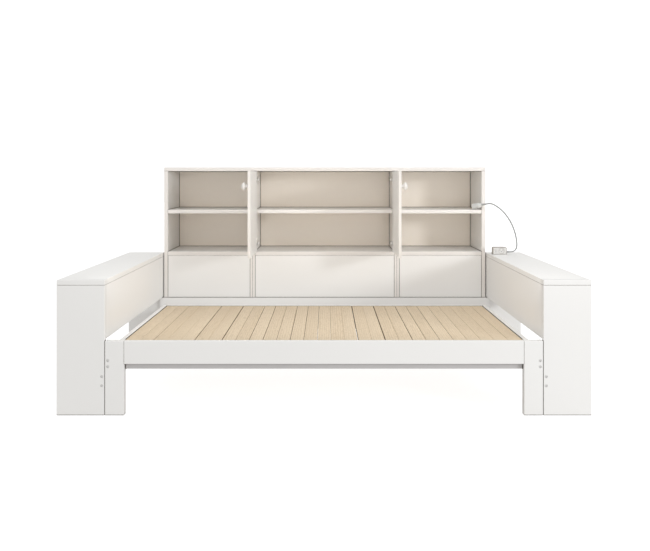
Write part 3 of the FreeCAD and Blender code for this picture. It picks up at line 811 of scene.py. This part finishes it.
class BED_OT_set_shelf_pins(bpy.types.Operator):
    """Sets the pins that carry the three middle shelves"""
    bl_idname = "bed.set_shelf_pins"
    bl_label = "Set shelf pins"

    def execute(self, context):
        radius = context.scene.bed_hardware.pin_radius
        for facing, name in ((1, "shelf_pins_facing_right"), (-1, "shelf_pins_facing_left")):
            places = []
            for bay in ("left", "middle", "right"):
                low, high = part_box("middle_shelf_" + bay)
                x = low[0] if facing > 0 else high[0]
                places += [(x, y, low[2] - radius) for y in (low[1] + PIN_INSET, high[1] - PIN_INSET)]
            pins = set_out(name, shelf_pin(radius), places, (facing, 0, 0), "nickel_plate")
            dress(pins, "nickel_plate", ROOT, "hardware_steel", "shelf_pins")
        return {"FINISHED"}


# ---- the doors
# Outlines are (distance along the axis, radius), in millimetres.
KNOB_FOOT = ((0, 0), (0, 11.6), (1.2, 11.8), (2.0, 11.0))
KNOB_NECK = ((15.6, 12.4), (17.0, 14.8), (18.4, 17.2))
KNOB_CROWN = ((34.6, 15.6), (36.6, 12.2), (38.4, 8.2), (39.6, 4.2), (40.0, 0))
KNOB_SCREW = ((0, 0), (0, 4.5), (0.8, 4.4), (1.7, 3.2), (2.2, 1.4), (1.5, 1.2), (1.5, 0))
CUP_SETBACK = 22.0 * MM
FLANGE_THICKNESS = 1.6 * MM
EAR_SCREW_REACH = 25.0 * MM
PLATE_THICKNESS = 3.0 * MM
PLATE_SCREW_SETBACK = 14.0 * MM
PLATE_SCREW_REACH = 17.0 * MM
HINGE_HALF = 30.0 * MM


def in_metres(outline):
    return [(distance * MM, radius * MM) for distance, radius in outline]


def knob_outline():
    """Waisted stem, then a mushroom cap with a rolled rim and a shallow domed crown."""
    outline = in_metres(KNOB_FOOT)
    for step in range(9):
        share = step / 8
        waist = 9.0 + 2.0 * (2 * share - 1) ** 2
        outline.append(((2.6 + 11.6 * share) * MM, waist * MM))
    outline += in_metres(KNOB_NECK)
    outline += arc((25.8 * MM, 15.4 * MM), 7.6 * MM, -72, 72, 14)
    return outline + in_metres(KNOB_CROWN)


class BED_OT_turn_knobs(bpy.types.Operator):
    """Turns the two door knobs and their fixing screws"""
    bl_idname = "bed.turn_knobs"
    bl_label = "Turn knobs"

    def execute(self, context):
        for side, body in DOORS.items():
            node = "knob_" + side
            low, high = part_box(node)
            door_low, door_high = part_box(body)
            left = side == "left"
            face, inside = (door_low[0], door_high[0]) if left else (door_high[0], door_low[0])
            outwards = -1 if left else 1
            y, z = (low[1] + high[1]) / 2, (low[2] + high[2]) / 2
            knob = turned("turned_knob_" + side, knob_outline(), 40, aimed((face, y, z), (outwards, 0, 0)),
                          math.radians(50))
            dress(knob, "knob_lacquer", body, "knob_white", node)
            screw = turned("knob_screw_" + side, in_metres(KNOB_SCREW), HEAD_STEPS,
                           aimed((inside, y, z), (-outwards, 0, 0)))
            dress(screw, "nickel_plate", body, "hardware_steel")
        return {"FINISHED"}


class BED_OT_fit_hinges(bpy.types.Operator):
    """Plates the hinges and drives the screws of their cups and plates"""
    bl_idname = "bed.fit_hinges"
    bl_label = "Fit hinges"

    def execute(self, context):
        coat_nodes("hinge_enamel", "hinge_arms")
        coat_nodes("nickel_plate", "hinge_cups_left", "hinge_cups_right")
        radius = context.scene.bed_hardware.screw_radius
        arms_low, arms_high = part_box("hinge_arms")
        for side, body in DOORS.items():
            sign = -1 if side == "left" else 1
            low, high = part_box("hinge_cups_" + side)
            door_low, door_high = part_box(body)
            face = door_high[0] if side == "left" else door_low[0]
            flange = face - sign * FLANGE_THICKNESS
            plate = sign * abs(arms_low[0]) - sign * PLATE_THICKNESS
            for name, rider, x, y, reach, seed in (
                    ("cup_screws_", body, flange, door_high[1] - CUP_SETBACK, EAR_SCREW_REACH, 5),
                    ("plate_screws_", ROOT, plate, arms_high[1] - PLATE_SCREW_SETBACK, PLATE_SCREW_REACH, 9)):
                places = [(x, y, z + up * reach) for z in (low[2] + HINGE_HALF, high[2] - HINGE_HALF)
                          for up in (-1, 1)]
                screws = set_out(name + side, screw_head(radius), places, (-sign, 0, 0), "nickel_plate",
                                 SCREW_SPIN, seed)
                dress(screws, "nickel_plate", rider, "hardware_steel")
        return {"FINISHED"}


# ---- hub and cord
CORD_START = (1.182, 0.371, 0.665)
CORD_ROUTE = [
    (1.202, 0.371, 0.665), (1.2195, 0.371, 0.675), (1.2295, 0.3715, 0.6925),
    (1.2305, 0.372, 0.721), (1.225, 0.374, 0.765), (1.211, 0.377, 0.815),
    (1.188, 0.381, 0.866), (1.152, 0.385, 0.917), (1.108, 0.388, 0.955),
    (1.0696, 0.4034, 0.9762),
]
CORD_END = (1.0433, 0.4297, 0.9686)
PLUG_AXIS = Vector((0.693, -0.693, 0.2)).normalized()
PLUG_LENGTH = 100.0 * MM
PLUG_RIM = ((0, 0), (0, 17.0), (0.5, 18.3), (1.5, 19.0), (5.2, 19.0), (6.0, 18.4), (6.0, 0))
GRIP_START = ((5.5, 0), (5.5, 17.6), (12.0, 18.1))
GRIP_SHOULDER = ((41.0, 17.6), (46.0, 17.4), (50.0, 16.6), (54.0, 14.8), (58.0, 12.0), (62.0, 9.4),
                 (66.0, 8.2), (69.0, 8.0), (69.5, 7.6), (69.5, 0))
RELIEF_START = ((68.0, 0), (68.0, 7.2), (70.0, 7.3))
RELIEF_END = ((98.2, 4.8), (100.0, 4.3), (100.0, 0))


def ribbed(start, end, first, last, ribs, groove):
    """Outline of ribs on a taper between two distances, from the first radius to the last, in millimetres."""
    points = []
    pitch = (end - start) / ribs
    for rib in range(ribs):
        for share, drop in ((0.0, groove), (0.15, 0.0), (0.6, 0.0), (0.75, groove)):
            at = start + pitch * (rib + share)
            points.append((at, first + (last - first) * (at - start) / (end - start) - drop))
    return points


def plug_pieces():
    """White rim at the pins, body with grip grooves and a soft shoulder, and the ribbed relief of its tail."""
    head = Vector(CORD_END) - PLUG_AXIS * PLUG_LENGTH
    grooves = ribbed(13.0, 40.0, 18.0, 17.5, 7, 0.8)
    ribs = ribbed(71.0, 98.0, 7.2, 4.9, 7, 0.9)
    made = []
    for name, finish, outline in (
            ("plug_rim", "plug_rim_moulding", PLUG_RIM),
            ("plug_grip", "plug_moulding", (*GRIP_START, *grooves, *GRIP_SHOULDER)),
            ("plug_relief", "relief_rubber", (*RELIEF_START, *ribs, *RELIEF_END))):
        piece = turned(name, in_metres(outline), 40, aimed(head, PLUG_AXIS))
        made.append(dress(piece, finish, ROOT, "plug_light", "plug_body"))
    return made


# The hub's mouth, from inside its case round the front edge: depth, inset and corner radius in millimetres.
HUB_MOUTH = ((14.0, 3.3, 1.5), (1.2, 3.3, 1.5), (0.3, 2.9, 1.9), (0.0, 2.2, 2.6), (0.0, 1.4, 3.2),
             (0.35, 0.45, 4.1), (1.3, 0.0, 4.5))
HUB_CORNER = 4.5 * MM
HUB_BACK_RADIUS = 22.0 * MM
HUB_BACK_EASE = 4.0 * MM
SOCKET_X = 54.0 * MM
SOCKET_RIM = ((-0.5, 18.8), (0.7, 18.6), (1.1, 17.9), (0.9, 17.2), (-0.2, 16.6), (-0.5, 18.8))
SOCKET_HOLES = ((-9.5 * MM, 4.5 * MM), (9.5 * MM, 4.5 * MM), (0.0, -4.5 * MM))
LINING_DEPTH = 3.4 * MM
LINING = ((0, 0), (0, 2.2), (2.0, 2.25), (2.2, 1.9), (1.0, 1.6), (1.0, 0))
USB_X = 17.0 * MM
USB_RISE = 6.0 * MM
USB_HALF = (6.5 * MM, 2.75 * MM)
# A port's shell, round its wall: depth behind the face and inset in millimetres.
USB_WALL = ((7.0, -0.15), (-0.3, -0.15), (-0.3, 0.35), (7.0, 0.35))
GLAND_START = ((0, 0), (0, 6.9), (4.0, 6.9))


def ring_at(work, y, low, high, inset_x, inset_z, radius, steps=6):
    """Rounded rectangle of vertices facing Y, inset from the box's sides."""
    left, right = low[0] + inset_x + radius, high[0] - inset_x - radius
    bottom, top = low[2] + inset_z + radius, high[2] - inset_z - radius
    ring = []
    for x, z, start in ((right, top, 0), (left, top, 90), (left, bottom, 180), (right, bottom, 270)):
        for step in range(steps + 1):
            turn = math.radians(start + 90 * step / steps)
            ring.append(work.verts.new((x + radius * math.cos(turn), y, z + radius * math.sin(turn))))
    return ring


def hub_shell_mesh(low, high):
    """Case with an eased mouth round the face, rounded long edges and a rounder back."""
    front, back = low[1], high[1]
    work = bmesh.new()
    rings = [ring_at(work, front + depth * MM, low, high, inset * MM, inset * MM, radius * MM)
             for depth, inset, radius in HUB_MOUTH]
    for step in range(13):
        turn = math.radians(90 * step / 12)
        y = back - HUB_BACK_RADIUS * (1 - math.sin(turn))
        last = max(0.0, (y - (back - HUB_BACK_EASE)) / HUB_BACK_EASE)
        inset_z = HUB_BACK_EASE * (1 - math.sqrt(max(0.0, 1 - last * last)))
        rings.append(ring_at(work, y, low, high, HUB_BACK_RADIUS * (1 - math.cos(turn)), inset_z, HUB_CORNER))
    skin(work, rings)
    return from_bmesh("hub_shell_case", work)


class BED_OT_build_hub(bpy.types.Operator):
    """Builds the power hub's case, socket rim, port shells and gland"""
    bl_idname = "bed.build_hub"
    bl_label = "Build hub"

    def execute(self, context):
        coat_nodes("hub_face", "hub_face")
        low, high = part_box("hub_case")
        dress(hub_shell_mesh(low, high), "hub_shell", ROOT, "hub_shell", "hub_case")
        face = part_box("hub_face")[0][1]
        middle = (low[2] + high[2]) / 2
        socket = low[0] + SOCKET_X
        rim = turned("socket_rim", in_metres(SOCKET_RIM), 40, aimed((socket, face, middle), (0, -1, 0)))
        dress(rim, "hub_shell", ROOT, "hub_shell")
        lining = turned("lining_pattern", in_metres(LINING), 16)
        holes = [(socket + x, face + LINING_DEPTH, middle + z) for x, z in SOCKET_HOLES]
        linings = set_out("socket_linings", lining, holes, (0, -1, 0), "socket_dark")
        dress(linings, "socket_dark", ROOT, "hub_face")
        work = bmesh.new()
        for side in (-1, 1):
            x, z = low[0] + USB_X, middle + side * USB_RISE
            corners = [(x + way * USB_HALF[0], face, z + way * USB_HALF[1]) for way in (-1, 1)]
            rings = [ring_at(work, face + depth * MM, *corners, inset * MM, inset * MM, 0.6 * MM, 3)
                     for depth, inset in USB_WALL]
            skin(work, rings + [rings[0]], capped=False)
        dress(from_bmesh("port_shells", work), "nickel_plate", ROOT, "hub_face")
        start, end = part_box("hub_gland")
        reach = (end[0] - start[0]) / MM
        outline = (*GLAND_START, *ribbed(5.0, reach - 1.5, 6.6, 4.9, 5, 0.9),
                   (reach - 1.4, 4.8), (reach, 4.4), (reach, 0))
        centre = (start[0], (start[1] + end[1]) / 2, (start[2] + end[2]) / 2)
        gland = turned("ribbed_gland", in_metres(outline), 28, aimed(centre, (1, 0, 0)))
        dress(gland, "relief_rubber", ROOT, "hub_shell", "hub_gland")
        return {"FINISHED"}


class BED_OT_run_cord(bpy.types.Operator):
    """Runs the cord from the hub's gland up to the plug, and finishes the plug"""
    bl_idname = "bed.run_cord"
    bl_label = "Run cord"

    def execute(self, context):
        diameter = context.scene.bed_power.cord_diameter
        curve = bpy.data.curves.new("power_cord_line", "CURVE")
        curve.dimensions = "3D"
        curve.bevel_depth = diameter / 2
        curve.bevel_resolution = 6
        curve.resolution_u = 16
        curve.use_fill_caps = True
        points = [CORD_START] + CORD_ROUTE + [CORD_END]
        spline = curve.splines.new("NURBS")
        spline.points.add(len(points) - 1)
        for point, place in zip(spline.points, points):
            point.co = (*place, 1.0)
        spline.order_u = 3
        spline.use_endpoint_u = True
        cord = new_object("mains_cord", curve)
        dress(cord, "cord_jacket", ROOT, "cord_grey", "power_cord")
        plug = plug_pieces()
        coat_nodes("plug_pin_metal", "plug_pins")
        return {"FINISHED"}


# ---- the stage
WHITE = (1.0, 1.0, 1.0)
SEEN_FLOOR_GLOW = 0.88
SEEN_SKY = 1.05
LOW_SKY, HIGH_SKY = (1.0, 0.96, 0.905), (0.955, 0.98, 1.0)
FLOOR_HALF = 30.0
BEAM_SPREAD = math.radians(16.0)
# Each light: where it stands, what it points at, its width and height, and its colour.
LIGHTS = {
    "key": ((5.74, -5.14, 2.17), (0.2, 0.4, 0.55), (1.0, 1.0), (0.95, 0.975, 1.0)),
    "fill": ((0.05, -0.8, 1.08), (0.05, 0.5, 1.03), (2.4, 1.0), (1.0, 0.975, 0.945)),
    "beam": ((0.12, -3.6, 1.0), (0.12, 0.5, 0.93), (2.5, 0.5), (1.0, 0.955, 0.90)),
}


def area_light(name, power, place, target, size, colour):
    data = bpy.data.lights.new(name, "AREA")
    data.shape = "RECTANGLE"
    data.size, data.size_y = size
    data.energy = power
    data.color = colour
    light = new_object(name, data)
    light.location = place
    light.rotation_euler = (Vector(target) - Vector(place)).to_track_quat("-Z", "Y").to_euler()
    return light


def seen_by_camera(tree):
    return put(tree, "ShaderNodeLightPath").outputs["Is Camera Ray"]


def pale_floor(shade, glow):
    """Wide pale floor; the camera sees it near white, with only a faint shadow under the bed."""
    half = FLOOR_HALF
    mesh = bpy.data.meshes.new("floor")
    mesh.from_pydata([(-half, -half, 0), (half, -half, 0), (half, half, 0), (-half, half, 0)], [],
                     [(0, 1, 2, 3)])
    made, tree, shader = material("pale_floor")
    clouds = noise(tree, on_object(tree), 0.8, 2.0)
    tone = blended(tree, clouds, (shade - 0.02,) * 3, (shade + 0.02,) * 3)
    tree.links.new(tone, shader.inputs["Base Color"])
    shader.inputs["Roughness"].default_value = 0.9
    shader.inputs["Emission Color"].default_value = (*WHITE, 1.0)
    strength = mapped(tree, seen_by_camera(tree), 0.0, 1.0, glow, SEEN_FLOOR_GLOW)
    tree.links.new(strength, shader.inputs["Emission Strength"])
    mesh.materials.append(made)
    new_object("floor", mesh)


def soft_sky(horizon, zenith):
    """Full white to the camera; as light, brighter and cooler overhead than near the horizon."""
    world = bpy.data.worlds.new("studio")
    world.use_nodes = True
    tree = world.node_tree
    tree.nodes.clear()
    height = parts_of(tree, on_object(tree, "Generated"))[2]
    seen = seen_by_camera(tree)
    level = put(tree, "ShaderNodeMix", {
        "Factor": seen, "A": mapped(tree, height, 0.0, 1.0, horizon, zenith), "B": SEEN_SKY}, data_type="FLOAT")
    tint = blended(tree, mapped(tree, height, 0.0, 0.8), LOW_SKY, HIGH_SKY)
    glow = put(tree, "ShaderNodeBackground", {
        "Color": blended(tree, seen, tint, WHITE), "Strength": level.outputs[0]})
    put(tree, "ShaderNodeOutputWorld", {0: glow.outputs[0]})
    bpy.context.scene.world = world


class BED_OT_set_stage(bpy.types.Operator):
    """Sets the camera, the lights, the sky and the pale floor"""
    bl_idname = "bed.set_stage"
    bl_label = "Set stage"

    def execute(self, context):
        stage = context.scene.bed_stage
        data = bpy.data.cameras.new("camera")
        data.sensor_width = 36.0
        data.lens = stage.lens
        data.shift_x, data.shift_y = stage.shift
        data.clip_end = 200.0
        camera = new_object("camera", data)
        camera.location = stage.camera_place
        camera.rotation_euler = (math.pi / 2, 0.0, 0.0)
        context.scene.camera = camera
        pale_floor(stage.floor_shade, stage.floor_glow)
        soft_sky(stage.horizon, stage.zenith)
        lights = {name: area_light(name, getattr(stage, name + "_power"), *details)
                  for name, details in LIGHTS.items()}
        lights["beam"].data.spread = BEAM_SPREAD
        for name in ("fill", "beam"):
            lights[name].visible_camera = False
        view = context.scene.view_settings
        view.view_transform = "Standard"
        view.look = "None"
        view.exposure = 0.0
        return {"FINISHED"}


# ---- the add-on
class BED_PT_panel(bpy.types.Panel):
    """Lists the steps that fit out the bed"""
    bl_idname = "BED_PT_panel"
    bl_label = "Bookcase Bed"
    bl_space_type = "VIEW_3D"
    bl_region_type = "UI"
    bl_category = "Bed"

    def draw(self, context):
        for step in STEPS:
            self.layout.operator(step.bl_idname)
        for name in SETTINGS:
            box = self.layout.box()
            settings = getattr(context.scene, name)
            for prop in settings.bl_rna.properties:
                if not prop.is_readonly and prop.identifier != "name":
                    box.prop(settings, prop.identifier)


STEPS = [
    BED_OT_set_stage,
    BED_OT_run_cord,
    BED_OT_paint_boards,
    BED_OT_lay_slats,
    BED_OT_set_bolts,
    BED_OT_set_shelf_pins,
    BED_OT_turn_knobs,
    BED_OT_fit_hinges,
    BED_OT_build_hub,
]


def register():
    for group in SETTINGS.values():
        bpy.utils.register_class(group)
    for name, group in SETTINGS.items():
        setattr(bpy.types.Scene, name, PointerProperty(type=group))
    for step in STEPS:
        bpy.utils.register_class(step)
    bpy.utils.register_class(BED_PT_panel)


def unregister():
    bpy.utils.unregister_class(BED_PT_panel)
    for step in reversed(STEPS):
        bpy.utils.unregister_class(step)
    for name in SETTINGS:
        delattr(bpy.types.Scene, name)
    for group in SETTINGS.values():
        bpy.utils.unregister_class(group)


def main():
    register()
    make_paint_film_group()
    make_eased_edge_group()
    make_joint_shade_group()
    make_grain_group()
    make_fine_grit_group()
    bpy.ops.bed.set_stage()
    bpy.ops.bed.run_cord()
    bpy.ops.bed.paint_boards()
    bpy.ops.bed.lay_slats()
    bpy.ops.bed.set_bolts()
    bpy.ops.bed.set_shelf_pins()
    bpy.ops.bed.turn_knobs()
    bpy.ops.bed.fit_hinges()
    bpy.ops.bed.build_hub()


if __name__ == "__main__":
    main()
